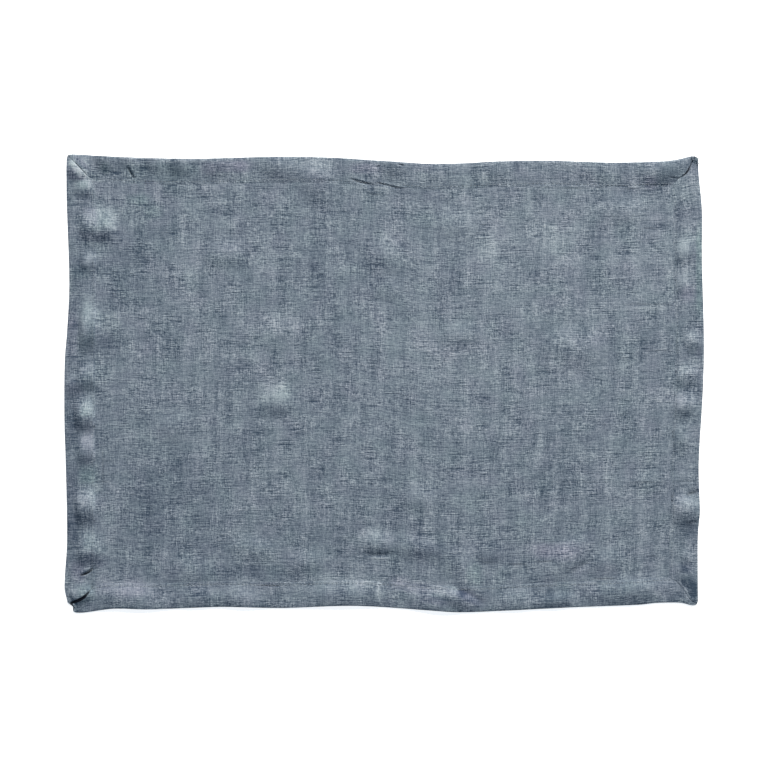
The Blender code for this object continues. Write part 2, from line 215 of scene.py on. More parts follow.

# Soft-edged patches where the cloth is painted paler or darker: painted light and shade on the
# slopes of the folds and puckers, and elsewhere cloth that is simply paler or darker. long,
# wide: half sizes. tone: paler above zero. violet: more violet above zero, greener below. turn:
# degrees from +X.
Fade = namedtuple("Fade", "x y long wide tone violet turn", defaults=(0, 0))
LIGHT_AND_TONE_PATCHES = table(
    Fade,
    # the left hem, from the top down
    (-246.4, 174.5, 3.5, 5, 0.28, -0.4, 25), (-240.6, 168.2, 12, 3.8, 0.55, -0.2, -45),
    (-238.2, 174.3, 9, 2.3, -0.14, 0.5, -45), (-219.5, 170, 4, 6, -0.12, -0.6),
    (-242, 162.5, 9, 2.2, -0.08, 0.6), (-238.2, 157, 6.5, 4, 0.24, -0.4), (-236, 147.5, 10, 5, -0.1, 0.3),
    (-231, 132, 9, 9, 0.2, 0.4), (-218, 129.5, 11, 12, 0.22, -0.3), (-230, 116, 13, 5, -0.08, 0.6),
    (-231.5, 98, 5, 4, 0.2), (-238, 88, 10, 7, -0.1, -0.4), (-232.6, 57, 6.4, 17, 0.24, -0.2),
    (-226, 31, 12, 8, -0.08), (-219, 32, 9, 8, -0.16), (-211.4, 50.5, 6, 8, 0.34),
    (-232.8, 12, 6, 9, 0.1), (-243, -3, 8, 6, -0.12, 0.2), (-234, -19, 6.5, 9, 0.16, -0.4),
    (-236, -22, 5, 4, 0.1, -0.3), (-234, -45.5, 7, 8, 0.22, 0.5), (-239, -60, 9, 5, -0.08),
    (-234, -71, 8, 9, 0, -0.9), (-234.5, -90, 7.5, 9, 0.22), (-235, -106, 14, 5, -0.12, 0.2),
    (-246, -116, 6, 10, -0.12, 0.2), (-232, -124, 6.5, 8, 0.1, -0.4), (-228, -139, 15, 7, -0.2, 0.4),
    (-246, 38, 6, 24, -0.08, 0.6), (-245, -25, 7, 34, -0.1, 0.2), (-246, -95, 6, 50, -0.08, 0.2),
    (-221, -20, 5, 60, -0.07), (-221, -98, 5, 40, -0.13), (-234, -165, 9, 9, 0.02, -0.7),
    (-238, -5, 15, 190, -0.07),
    # the right hem, from the top down
    (235.2, 108.6, 6, 8, 0.22), (236, 83, 6, 7, 0.18), (239, 71.5, 8, 7, 0.02, 0.6),
    (248.5, 90, 3.5, 45, 0, -1), (243, 36.5, 7, 5, 0.32, 0, 25), (247.6, 24.5, 3.5, 4, -0.16, 0.5),
    (240, 9.8, 10, 4, 0.24, 0, 10), (237, -12.7, 10, 7, 0.26, 0, 5), (238.6, -24, 3, 3, -0.16),
    (236, -36.5, 5, 6, 0.16), (243.5, -39.6, 5, 4, 0.16), (237, -48, 8, 8, 0.14), (238, -66, 8, 8, 0.1),
    (235, -96.5, 8, 6, 0.24, 0, 8), (238, -114.5, 11, 8, -0.24, 0, 5), (243.5, -93.5, 6, 4, 0.16),
    (243, -137, 5, 5, 0.12), (237.8, -145.2, 5, 4.6, -0.5, 0.3), (241, -159.6, 11, 6.5, -0.4, 0, -62),
    (244, -160, 6, 8.5, -0.2), (245.5, -168.5, 5, 6, -0.24), (236.5, -155.6, 4.5, 3.2, -0.18, 0, -45),
    (228, -167, 9, 5, -0.2), (212, -161.5, 9, 6, 0.14, 0, -30),
    # the top hem
    (-52, 173, 12, 8, 0.18), (-172, 166, 44, 10, -0.08, -0.3), (-120, 171.5, 18, 6, 0, 0.8),
    (-139, 170, 7, 7, 0.05, 0.6), (-15, 170, 16, 5, 0.02, 0.6), (-5.5, 169.5, 5, 5, -0.14),
    (30, 171, 12, 5, 0, 0.5), (11, 168, 7, 5, -0.08), (124, 161, 9, 7, 0.12), (220, 166, 14, 9, -0.07),
    (210, 158, 7, 7, -0.02, 0.8), (246.5, 176.5, 3, 3, -0.26, -0.8),
    # the bottom hem
    (-204, -160.5, 26, 9, 0.12, 0.5), (-110, -163, 30, 8, 0.06), (-31, -157, 26, 7, 0.15),
    (4, -157, 5, 8, -0.12), (22, -159.5, 20, 7, 0.12, 0.6, -12), (47, -163.5, 12, 5, 0.2, 0.4, -14),
    (61.5, -164.5, 4.5, 3, -0.26, 0.4, -30), (68, -168.5, 14, 5, -0.24, 0.4, -28),
    (42, -171, 16, 4, -0.14, 0.6, -8), (136, -170.5, 15, 6, -0.22), (140, -163, 12, 5, -0.1),
    (193, -170, 10, 5, -0.12), (0, -166, 262, 12, -0.05),
    # the field
    (-86, -8, 17, 11, 0.26, -0.2), (-80.5, -5.5, 8, 7, 0.16, -0.3), (-97, -12, 8, 7, 0.08),
    (-80, -38, 10, 9, 0.1), (-84, 46, 24, 14, 0.09), (-150, 75, 9, 52, 0.09), (-160, 15, 14, 30, 0.05),
    (-132, 30, 12, 10, 0.07), (-132, 124, 12, 10, 0.05), (-182, 153, 9, 9, 0, 0.6),
    (-194, 146, 12, 5, -0.03, -0.7), (-241.5, -148, 7, 11, -0.05, 0.8), (-245.5, 165.5, 4, 5, 0.1, 0.5),
    (78, 165, 9, 8, 0.09), (162, 144, 20, 6, -0.07), (115, 146, 10, 10, -0.05), (-212, 26, 9, 20, -0.07),
    (-148, -147, 12, 5, -0.07), (-181, 135, 9, 7, -0.02, -0.6), (-97, 33, 9, 9, 0.05),
    (30, 50, 9, 62, 0.1), (28, 104, 9, 11, 0.16), (1, 110, 8, 12, 0.16), (1, 60, 6, 40, 0.06),
    (60, 128, 18, 24, 0.08), (80, 108, 11, 16, 0.18), (132, 128, 20, 20, 0.06), (145, 38, 11, 13, 0.15),
    (147, -12, 9, 34, 0.07), (147, -38, 9, 8, 0.08), (107, -38, 9, 8, 0.08), (95, -10, 9, 9, 0.07),
    (120, 76, 9, 8, 0.06), (152, 80, 60, 17, -0.06), (50, 20, 70, 36, 0.08), (104, 14, 12, 18, 0.06),
    (31, 8, 11, 26, 0.06), (74, -71, 11, 11, 0.05), (-12, -46, 8, 12, 0.11), (28, -82, 9, 11, 0.16),
    (-23, -97, 9, 9, 0.05), (103, -113, 9, 9, 0.06), (-12, -119, 15, 7, 0.14), (-75, -80, 18, 34, 0.05),
    (66, -132, 14, 6, 0.08, 0, 65), (143, -140, 18, 6, 0.11, 0, 35), (150, 100, 110, 66, 0.08),
    (140, -40, 110, 70, 0.02), (0, -125, 230, 24, -0.02), (-203, 75, 16, 48, -0.1),
    (-203, -46, 11, 9, -0.06), (-175, 110, 14, 44, -0.06), (-52, 95, 8, 40, -0.08),
    (-50, 140, 10, 10, -0.06), (11, 50, 5, 56, -0.09), (71, 66, 9, 8, -0.05), (-178, -95, 30, 56, -0.13),
    (-140, -110, 16, 46, -0.08), (-53, -95, 9, 54, -0.09), (-4, -133, 16, 4, -0.13),
    (35, -130, 20, 7, -0.16), (-52, -146, 12, 6, -0.08), (85, -133, 13, 11, -0.11),
    (140, -75, 26, 20, -0.08), (137, 88, 10, 9, -0.05), (175, 110, 18, 40, -0.04),
    (177, 148, 26, 6, -0.1), (205, -71, 26, 7, -0.05), (-82.5, -24.5, 8, 5, -0.22),
    (-103, -148, 50, 7, -0.18), (-202, -146, 20, 9, -0.08), (139, -132, 26, 8, 0.05, 0.9),
    (71, -151, 8, 12, 0.06, -0.6),
)

# Loose yarn ends at the upper right corner. x, y: the root. towards: degrees from +X. long: its
# length. bend: degrees that it turns by its tip.
YarnEnd = namedtuple("YarnEnd", "x y towards long bend")
YARN_ENDS = table(
    YarnEnd,
    (245.2, 175.4, 88, 5.2, 18), (246.2, 175.2, 74, 5, -26), (244, 175.8, 104, 4.4, 20),
    (246.6, 174.4, 60, 4.6, 30), (243.2, 176.4, 118, 3.6, -20), (247, 173.2, 35, 3.4, -26),
)

# ---- What a user would change ----


def linear(hex_colour):
    """An sRGB colour, written as hex, as linear light."""
    srgb = [int(hex_colour[start : start + 2], 16) / 255 for start in (0, 2, 4)]
    return (*(c / 12.92 if c <= 0.04045 else ((c + 0.055) / 1.055) ** 2.4 for c in srgb), 1.0)


def number(name, description, default, **more):
    return bpy.props.FloatProperty(name=name, description=description, default=default, **more)


def size_in_mm(name, description, default):
    """A length that is shown in the scene's units and held in metres."""
    return number(name, description, default * MM, unit="LENGTH", precision=5)


def colour(name, description, hex_colour):
    shown = {"size": 4, "subtype": "COLOR", "min": 0.0, "max": 1.0}
    return bpy.props.FloatVectorProperty(
        name=name, description=description, default=linear(hex_colour), **shown
    )


class ClothSettings(bpy.types.PropertyGroup):
    """Sizes and colours of the linen."""

    length: size_in_mm("Length", "Mean size between the fold edges, left to right", 500.0)
    width: size_in_mm("Width", "Mean size between the fold edges, top to bottom", 353.0)
    side_hem: size_in_mm("Side hem", "Depth of the hem along the left and right edges", 22.5)
    end_hem: size_in_mm("End hem", "Depth of the hem along the top and bottom edges", 20.0)
    turned_in: size_in_mm("Turned in", "Width of the cloth that is tucked under the hem", 10.0)
    ply: size_in_mm("Cloth", "Thickness of the single cloth", 0.45)
    thread_pitch: size_in_mm("Thread pitch", "From one thread to the next", 0.6)
    yarn_thickness: size_in_mm("Yarn", "Thickness of a loose yarn end", 0.7)
    dark_yarn: colour("Dark yarn", "The darkest yarn of the mixed blue-grey", "3B4A5C")
    yarn: colour("Yarn", "The middle tone of the yarn", "6D7A89")
    pale_yarn: colour("Pale yarn", "The palest yarn, where the slubs are", "9AA6B2")


class StitchSettings(bpy.types.PropertyGroup):
    """Sizes and colour of the sewing."""

    length: size_in_mm("Stitch", "Length of one lockstitch", 2.6)
    pitch: size_in_mm("Stitch pitch", "From one stitch to the next", 3.1)
    thickness: size_in_mm("Thread", "Thickness of the sewing thread", 0.32)
    from_fold: size_in_mm("Inset", "From the hem's inner fold to the row of stitches", 2.2)
    thread: colour("Thread", "The sewing thread, matched to the cloth", "7C8893")


class StageSettings(bpy.types.PropertyGroup):
    """The plain studio around the placemat."""

    floor: colour("Floor", "The pale floor", "F4F4F3")
    floor_glow: number("Floor light", "Light through the opal floor, which clears shadows", 0.75)
    lens: number("Lens", "Focal length of the camera, in millimetres", 85.0)
    key_colour: colour("Key colour", "The main light is slightly warm", "FFF6EA")
    fill_colour: colour("Fill colour", "The fill is slightly cool, so the shaded slopes are bluer", "CFE9FF")
    key_power: number("Key light", "Power of the main soft light", 1015.0, unit="POWER")
    sky: number("Fill", "Strength of the even light from all round", 0.25)


# ---- The shape of the cloth ----


def clamp(share):
    return min(max(share, 0.0), 1.0)


def ease(share):
    """A smooth step from 0 to 1."""
    share = clamp(share)
    return share * share * (3 - 2 * share)


@lru_cache(maxsize=None)
def through(rows, at):
    """A smooth curve through (place, value) rows, held level past its ends."""
    last = len(rows) - 1
    at = min(max(at, rows[0][0]), rows[last][0])
    after = next((i for i, row in enumerate(rows) if row[0] > at), last)
    before = after - 1
    gap = rows[after][0] - rows[before][0]

    def slope(i):
        if i in (0, last):
            return 0.0
        return (rows[i + 1][1] - rows[i - 1][1]) / (rows[i + 1][0] - rows[i - 1][0])

    t = (at - rows[before][0]) / gap
    return (
        (2 * t**3 - 3 * t**2 + 1) * rows[before][1]
        + (t**3 - 2 * t**2 + t) * gap * slope(before)
        + (3 * t**2 - 2 * t**3) * rows[after][1]
        + (t**3 - t**2) * gap * slope(after)
    )


def straight_through(rows, at):
    """A polyline through (place, value) rows, carried on past its ends at its own slope."""
    last = len(rows) - 2
    i = next((i for i in range(last) if rows[i + 1][0] > at), last)
    share = (at - rows[i][0]) / (rows[i + 1][0] - rows[i][0])
    return rows[i][1] + share * (rows[i + 1][1] - rows[i][1])


def off_line(start, end, x, y):
    """How far along a line a point is, as a share, with the line and the point from its start."""
    run = Vector((end[0] - start[0], end[1] - start[1]))
    off = Vector((x - start[0], y - start[1]))
    return off.dot(run) / run.length_squared, run, off


def corner_of(x, y):
    """The signs of x and y."""
    return (1 if x > 0 else -1, 1 if y > 0 else -1)


def patch(row, *half_sizes):
    """A fold's or a fade's row, how far it reaches, and the cosine and sine of its turn."""
    turn = math.radians(row.turn)
    return row, max(half_sizes), math.cos(turn), math.sin(turn)


def at_point(patches, x, y):
    """The rows that reach a point, each with how far along and across it the point lies."""
    for row, reach, cos, sin in patches:
        dx = x - row.x
        dy = y - row.y
        if abs(dx) <= reach and abs(dy) <= reach:
            yield row, dx * cos + dy * sin, dy * cos - dx * sin


class Plan:
    """The placemat's sizes in millimetres, and the functions that say where its cloth lies."""

    UNEVEN = 0.16  # height of the slight waves all over the cloth
    UNEVEN_PITCH = 34.0  # and the distance from one to the next
    UNEVEN_SLICE = 7.3  # keeps their pattern apart from that of the wander
    WANDER = 1.2  # how far the folds' outlines stray from plain ovals
    WANDER_PITCH = 26.0
    WANDER_SEED = 5  # without a seed, the wander would start from the clock and differ each run
    HELD = 0.8  # the left hem's inner fold was pressed straight: how little of the edge it follows
    BESIDE_HEM = 0.13  # how far the stitches lift the single cloth beside the hem's inner fold
    BESIDE_REACH = 9.0
    UNDER_REACH = 2.0  # how far under the hem that lift begins
    SEAM_ZONE = 26.0  # no mitre seam reaches further in than this
    GAP_BLUR = 0.5  # width over which the painted shade of a seam's gap fades
    PAST_END = 0.05  # share of a crease's length by which its trough runs past its ends
    LIP = 0.25  # height of the lips beside a crease, as a share of its depth

    def __init__(self, cloth):
        noise.seed_set(self.WANDER_SEED)
        self.half = (cloth.length / MM / 2, cloth.width / MM / 2)  # along X and along Y
        self.hem = (cloth.side_hem / MM, cloth.end_hem / MM)  # depths of the hems across X and Y
        self.turned_in = cloth.turned_in / MM
        self.ply = cloth.ply / MM
        self.folds = {
            power: [patch(row, row.long, row.above, row.below) for row in rows]
            for power, rows in FOLDS.items()
        }
        self.light_and_tone_patches = [patch(row, row.long, row.wide) for row in LIGHT_AND_TONE_PATCHES]

    def laid_out(self, x, y):
        """Where a point of the straight-sided cloth lies once its edges stray and its corners draw in."""
        half_x, half_y = self.half
        right = x / (2 * half_x) + 0.5
        up = y / (2 * half_y) + 0.5
        follows = 1 - self.HELD * ease((x + half_x) / self.hem[0])
        new_x = x + right * through(RIGHT_EDGE, y) - (1 - right) * follows * through(LEFT_EDGE, y)
        new_y = y + up * through(TOP_EDGE, x) - (1 - up) * through(BOTTOM_EDGE, x)
        for corner in CORNERS:
            from_side = abs(x - corner.side * half_x)
            from_end = abs(y - corner.end * half_y)
            if from_side < CORNER_REACH and from_end < CORNER_REACH:
                past_full = (corner.near - from_end) / (corner.near - corner.full)
                fade_x = (1 - from_side / CORNER_REACH) * ease(past_full)
                fade_y = (1 - from_end / CORNER_REACH) * ease(1 - from_side / CORNER_NEAR)
                new_x -= corner.side * corner.cut_x * fade_x
                new_y -= corner.end * corner.cut_y * fade_y
        return new_x, new_y

    def lift(self, x, y):
        """Height of the folds above the surface that the cloth lies on."""
        place = Vector((x / self.WANDER_PITCH, y / self.WANDER_PITCH, 0.0))
        drift = noise.noise_vector(place) * self.WANDER
        height = 0.0
        for power, folds in self.folds.items():
            for fold, along, across in at_point(folds, x + drift.x, y + drift.y):
                wide = fold.above if across > 0 else fold.below
                off_crest = abs(along / fold.long) ** power + (across / wide) ** 2
                if off_crest < 1:
                    height += fold.rise * (1 - off_crest) ** 2
        waves = Vector((x / self.UNEVEN_PITCH, y / self.UNEVEN_PITCH, self.UNEVEN_SLICE))
        height += self.UNEVEN * (1 + noise.fractal(waves, 0.6, 2.0, 3))
        return max(height, 0.0)

    def beside_hem(self, x, y):
        """How far the single cloth is lifted beside the inner fold of the hems."""
        past_side = self.half[0] - abs(x) - self.hem[0]
        past_end = self.half[1] - abs(y) - self.hem[1]
        past = min(past_side, past_end)
        return self.BESIDE_HEM * ease(1 - past / (self.BESIDE_REACH if past >= 0 else -self.UNDER_REACH))

    def seam(self, x, y):
        """How near the closest mitre seam is, and how much painted shade its gap puts on the cloth there."""
        from_side = self.half[0] - abs(x)
        from_end = self.half[1] - abs(y)
        nearest = math.inf
        shade = 0.0
        if max(from_side, from_end) > self.SEAM_ZONE:
            return nearest, shade
        rows = MITRES[corner_of(x, y)]
        for row, after in zip(rows, rows[1:]):
            share, run, off = off_line(row, after, from_side, from_end)
            share = clamp(share)
            away = (off - run * share).length
            if away < nearest:
                nearest = away
                gap = row.gap + share * (after.gap - row.gap)
                dark = row.dark + share * (after.dark - row.dark)
                shade = dark * ease(1 + (gap / 2 - away) / self.GAP_BLUR)
        return nearest, shade

    def fade(self, x, y):
        """How much paler the cloth is painted there, with painted light and shade on the folds and its own
        paler and darker patches, and how much more violet it is.
        """
        tone = 0.0
        violet = 0.0
        for row, along, across in at_point(self.light_and_tone_patches, x, y):
            off_middle = (along / row.long) ** 4 + (across / row.wide) ** 4
            if off_middle < 1:
                tone += row.tone * (1 - off_middle) ** 2
                violet += row.violet * (1 - off_middle) ** 2
        return tone, violet

    def crease(self, x, y):
        """Depth of the sharp creases there, with a low lip on both sides of each, and their shade: painted
        shade in the creases, darker single yarns, and below zero painted highlights on the lips and paler
        single yarns.
        """
        depth = 0.0
        shade = 0.0
        for row in CREASES:
            share, run, off = off_line(row, row[2:], x, y)
            if not -self.PAST_END < share < 1 + self.PAST_END:
                continue
            taper = math.sin(math.pi * clamp(share)) ** 0.5
            middle = row.bow * math.sin(math.pi * share)
            across = (run.x * off.y - run.y * off.x) / run.length - middle
            near = math.exp(-((across / row.width * 2) ** 2)) * taper
            lip = math.exp(-(((abs(across) - row.width) / row.width * 2) ** 2)) * taper
            depth += row.depth * (near - self.LIP * lip)
            shade += row.shade * near
        return depth, shade


# ---- The folded sheet ----

# One row of the hem's section. inwards: from the fold edge. height: of the sheet's middle.
# cut: how far past the fold edge it lies in the flat cut cloth.
HemRow = namedtuple("HemRow", "inwards height cut")


class Hem:
    """The section of a twice-turned hem: outer fold, upper cloth, inner fold, turned-in cloth."""

    OUTER_GAP = 0.27  # between the middles of two cloths at the outer fold, where they are pressed
    INNER_GAP = 0.07  # and at the inner fold, which the stitches hold down
    UPPER_FROM = 0.06  # a point this far above the turned-in cloth is on the upper cloth
    LOFT = 0.12  # how far the hem swells inwards from its outer fold
    LOFT_REACH = 5.0
    SINK_REACH = 8.0  # how far before the stitches it begins to sink to the inner fold
    FOLD_STEPS = 5
    STITCH_PINCH = 0.05  # how far the stitches pull the upper cloth down
    PINCH_REACH = 1.8
    PINCH_ROWS = (-1.8, -0.9, 0.0, 0.9)  # from the stitches
    UPPER_SPACING = 1.9  # between the other rows of the upper cloth

    def __init__(self, plan, depth, stitch_inset):
        self.depth = depth
        self.stitch_at = depth - stitch_inset
        self.base = plan.ply / 2
        self.tuck = self.base + self.INNER_GAP
        self.upper_from = self.tuck + self.UPPER_FROM
        self.outer_top = self.base + self.OUTER_GAP
        self.inner_top = self.tuck + self.INNER_GAP
        self.outer_radius = (self.outer_top - self.base) / 2
        self.turned_in = plan.turned_in

    def upper_height(self, inwards):
        """Height of the middle of the hem's upper cloth."""
        height = self.outer_top + self.LOFT * ease(inwards / self.LOFT_REACH)
        sinks_from = self.stitch_at - self.SINK_REACH
        to_fold = ease((inwards - sinks_from) / (self.depth - sinks_from))
        height += (self.inner_top - height) * to_fold
        from_stitch = abs(inwards - self.stitch_at)
        return height - self.STITCH_PINCH * ease(1 - from_stitch / self.PINCH_REACH)

    def rows(self):
        """The section, row by row, from just past the base cloth's edge to the raw edge."""
        start = self.outer_radius
        half_turn = [math.pi * i / self.FOLD_STEPS for i in range(1, self.FOLD_STEPS + 1)]
        section = [(start * (1 - math.sin(a)), self.base + start * (1 - math.cos(a))) for a in half_turn]
        inner_radius = (self.inner_top - self.tuck) / 2
        stop = self.depth - inner_radius
        pinched = [self.stitch_at + step for step in self.PINCH_ROWS]
        count = round((pinched[0] - start) / self.UPPER_SPACING)
        upper = [start + (pinched[0] - start) * i / count for i in range(1, count)]
        section += [(inwards, self.upper_height(inwards)) for inwards in upper + pinched + [stop]]
        drop = self.upper_height(stop) - self.tuck
        for a in half_turn:
            section.append((stop + inner_radius * math.sin(a), self.tuck + drop * (1 + math.cos(a)) / 2))
        for share in (0.25, 0.5, 0.75, 1.0):
            section.append((stop - share * self.turned_in, self.tuck))  # out of sight
        rows = []
        before = (start, self.base)
        cut = -start
        for place in section:
            cut += math.dist(place, before)
            rows.append(HemRow(*place, cut))
            before = place
        return rows


class Side(namedtuple("Side", "run across sign")):
    """A side of the cloth. run, across: which axis runs along it and which across it, 0 for X and
    1 for Y. sign: on which end of the axis across it the side lies."""

    def pair(self, on_run, on_across):
        """Two values for the side's axes, with that for X first."""
        return (on_run, on_across) if self.run == 0 else (on_across, on_run)


SIDES = table(Side, (0, 1, 1), (1, 0, 1), (0, 1, -1), (1, 0, -1))


class FoldedSheet:
    """Builds the cloth pressed flat with its hems turned, then lays it out."""

    FIELD_SPACING = 3.7
    HEM_SPACING = 2.4
    EDGE_LINES = (0.0, 0.4, 1.3)  # the first lines of the base cloth, in from where it folds over
    CORNER_ZONE = 34.0  # length over which the hem's columns lean to the mitre
    MITRE_CURL = 0.40  # how far the cloth turns down along a mitre seam
    CURL_REACH = 1.5
    OPEN_SEAM = 0.4  # a seam that stands open this far has its edges wholly turned down
    CREASE_MARGIN = 2.5  # how far round a sharp crease or a seam the mesh is made finer
    CUTS = 4  # how many times an edge is cut there
    SHORTEST_CUT = 0.7  # an edge shorter than this, as round a fold, is left whole
    DEEP_CREASE = 0.3  # a crease this deep also bends the cloths under the hem's upper one
    WIDE_SEAM = 0.6  # a mitre that stands open this far shows the cloths under it
    ALONG = 0.985  # cosine of the angle under which an edge runs along a crease, not across it
    BENT = 0.8  # how far a crease bows before it counts as running all ways
    SINGLE = 0.01  # a point less than this above the base cloth's middle belongs to it
    ON_TOP = 0.1  # and one more than this above it to the hem's upper cloth
    CLEAR = 0.02  # how far a crease stops short of pressing that down to the base cloth
    TOLERANCE = 1e-4

    def __init__(self, plan, stitch_inset):
        self.plan = plan
        self.hems = [Hem(plan, depth, stitch_inset) for depth in plan.hem]  # across X and Y
        self.bm = bmesh.new()
        # where each point lies in the flat cut cloth, the painted shade of creases and seam gaps, and its
        # patches of painted light and shade, tone and violet
        layers = self.bm.verts.layers
        self.cut = layers.float_vector.new("cut_place")
        self.shade = layers.float.new("crease_shade")
        self.tone = layers.float.new("tone_and_painted_light")
        self.violet = layers.float.new("washed_violet")

    def grid_lines(self, axis):
        """Places of the base cloth's lines along an axis, closer together towards the fold edge."""
        edge = self.plan.half[axis] - self.hems[axis].outer_radius
        inner = self.plan.half[axis] - self.plan.hem[axis]
        near = [edge - inwards for inwards in self.EDGE_LINES]
        start = near[-1]
        steps = round((start - inner) / self.HEM_SPACING)
        near += [start - (start - inner) * i / steps for i in range(1, steps + 1)]
        steps = round(2 * inner / self.FIELD_SPACING)
        field = [-inner + 2 * inner * i / steps for i in range(1, steps)]
        return [-x for x in near] + field + near[::-1]

    def make_base(self):
        """The single cloth, up to where its hems fold over."""
        lines = [self.grid_lines(0), self.grid_lines(1)]
        steps = [len(places) - 1 for places in lines]
        middle = Matrix.Translation((0.5, 0.5, 0))
        bmesh.ops.create_grid(self.bm, x_segments=steps[0], y_segments=steps[1], size=0.5, matrix=middle)
        for vert in self.bm.verts:
            x, y = (lines[axis][round(vert.co[axis] * steps[axis])] for axis in (0, 1))
            vert.co = Vector((x, y, self.plan.ply / 2))
            vert[self.cut] = Vector((x, y, 0))

    def seam_limit(self, side, end_sign, inwards):
        """How far in from the corner a side's upper cloth ends, and how far the seam stands open."""
        rows = MITRES[side.pair(end_sign, side.sign)]
        place = [(row[side.across], row[side.run]) for row in rows]
        open_by = through(tuple((row[side.across], row.gap) for row in rows), inwards)
        return max(straight_through(place, inwards), 0.0) + open_by / 2, open_by

    def turn_hem(self, side):
        """Extrudes one side's edge along the section of its hem, and leans its ends to the mitres."""

        def outwards(vert):
            return vert.co[side.across] * side.sign

        def key(vert):
            return round(vert.co.x, 4), round(vert.co.y, 4)

        far = max(outwards(v) for v in self.bm.verts if len(v.link_edges) < 4) - self.TOLERANCE
        edges = [e for e in self.bm.edges if e.is_boundary and all(outwards(v) > far for v in e.verts)]
        at = {v: v.co[side.run] for e in edges for v in e.verts}
        for row in self.hems[side.across].rows():
            made = bmesh.ops.extrude_edge_only(self.bm, edges=edges)["geom"]
            edges = [g for g in made if isinstance(g, bmesh.types.BMEdge)]
            old_at = {key(v): run for v, run in at.items()}
            at = {v: old_at[key(v)] for e in edges for v in e.verts}
            for vert, run in at.items():
                self.place_hem_point(vert, run, row, side)

    def place_hem_point(self, vert, run, row, side):
        """Puts one point of a hem's row in its place, with its place in the cut cloth."""
        end_sign = 1 if run > 0 else -1
        half_run = self.plan.half[side.run]
        half_across = self.plan.half[side.across]
        limit, open_by = self.seam_limit(side, end_sign, row.inwards)
        lean = max(0.0, 1 - (half_run - abs(run)) / self.CORNER_ZONE)
        new_run = end_sign * (abs(run) - limit * lean)
        curl = 0.0
        if row.height > self.hems[side.across].upper_from:
            to_seam = half_run - limit - abs(new_run)
            curl = self.MITRE_CURL * max(0.0, 1 - to_seam / self.CURL_REACH) ** 2
            curl *= min(1.0, open_by / self.OPEN_SEAM)
        height = row.height - curl * min(1.0, row.inwards)
        vert.co = Vector((*side.pair(new_run, side.sign * (half_across - row.inwards)), height))
        vert[self.cut] = Vector((*side.pair(new_run, side.sign * (half_across + row.cut)), 0))

    def refine_creases(self):
        """Makes the mesh finer across the sharp creases and round the mitre seams."""
        plan = self.plan
        field_x, field_y = (half - hem for half, hem in zip(plan.half, plan.hem))
        wanted = []
        for edge in self.bm.edges:
            start, end = (vert.co for vert in edge.verts)
            run = end - start
            if run.length < self.SHORTEST_CUT:
                continue
            x, y, z = (start + end) / 2
            in_hem = abs(x) > field_x or abs(y) > field_y
            seen = not in_hem or z > self.hems[0].upper_from
            wide_open = max(row.gap for row in MITRES[corner_of(x, y)]) > self.WIDE_SEAM
            at_seam = plan.seam(x, y)[0] < self.CREASE_MARGIN and (seen or wide_open)
            if at_seam or self.crosses_crease(*plan.laid_out(x, y), run.xy.normalized(), seen):
                wanted.append(edge)
        bmesh.ops.subdivide_edges(
            self.bm, edges=wanted, cuts=self.CUTS, use_grid_fill=True, use_only_quads=False
        )

    def crosses_crease(self, x, y, direction, seen):
        """Whether an edge at a laid-out place runs across a sharp crease within the margin."""
        for row in CREASES:
            if not seen and row.depth < self.DEEP_CREASE:
                continue
            share, run, off = off_line(row, row[2:], x, y)
            if (off - run * clamp(share)).length < self.CREASE_MARGIN + abs(row.bow):
                if abs(row.bow) > self.BENT or abs(direction.dot(run.normalized())) < self.ALONG:
                    return True
        return False

    def add_cut_map(self):
        """The cloth's own map: each point's place in the flat cut cloth, in centimetres."""
        uv = self.bm.loops.layers.uv.new("Cut")
        for face in self.bm.faces:
            for loop in face.loops:
                place = loop.vert[self.cut]
                loop[uv].uv = (place.x * CM_PER_MM, place.y * CM_PER_MM)

    def lay_out(self):
        """Moves every point from the pressed cloth to where it lies, with its folds and creases."""
        plan = self.plan
        for vert in self.bm.verts:
            flat_x, flat_y, height = vert.co
            above_base = height - plan.ply / 2
            x, y = plan.laid_out(flat_x, flat_y)
            lift = plan.lift(flat_x, flat_y)
            if above_base < self.SINGLE:
                lift += plan.beside_hem(flat_x, flat_y)
            depth, shade = plan.crease(x, y)
            deepest = lift + above_base - self.CLEAR if above_base > self.ON_TOP else lift
            vert.co = Vector((x, y, height + lift - min(depth, deepest))) * MM
            # Painted light and shade go into the colour here: the patches' paler and darker tone, with their
            # violet; negative crease shade, for painted highlights on crease lips and for pale yarns, as
            # paler tone; and the painted shade of creases and seam gaps.
            tone, vert[self.violet] = plan.fade(x, y)
            vert[self.tone] = tone - min(shade, 0.0)
            vert[self.shade] = clamp(max(shade, plan.seam(flat_x, flat_y)[1]))

    def build(self):
        self.make_base()
        for side in SIDES:
            self.turn_hem(side)
        self.refine_creases()
        self.add_cut_map()
        self.lay_out()
        return self.bm


# ---- Materials ----


def set_inputs(node, inputs):
    """Gives a node's inputs their values, or links them from a socket or a node's first output."""
    for name, value in inputs:
        if isinstance(value, bpy.types.Node):
            value = value.outputs[0]
        if isinstance(value, bpy.types.NodeSocket):
            node.id_data.links.new(value, node.inputs[name])
        else:
            node.inputs[name].default_value = value


def add_node(tree, kind, inputs=(), **settings):
    """Adds a shader node with its settings, and with its inputs by name or in their order."""
    node = tree.nodes.new("ShaderNode" + kind)
    for name, value in settings.items():
        setattr(node, name, value)
    set_inputs(node, inputs.items() if isinstance(inputs, dict) else enumerate(inputs))
    return node


def new_material(name, values):
    """A material with its Principled shader's plain values set: (material, shader, add)."""
    material = bpy.data.materials.new(name)
    material.use_nodes = True
    shader = material.node_tree.nodes["Principled BSDF"]
    set_inputs(shader, values.items())
    return material, shader, partial(add_node, material.node_tree)


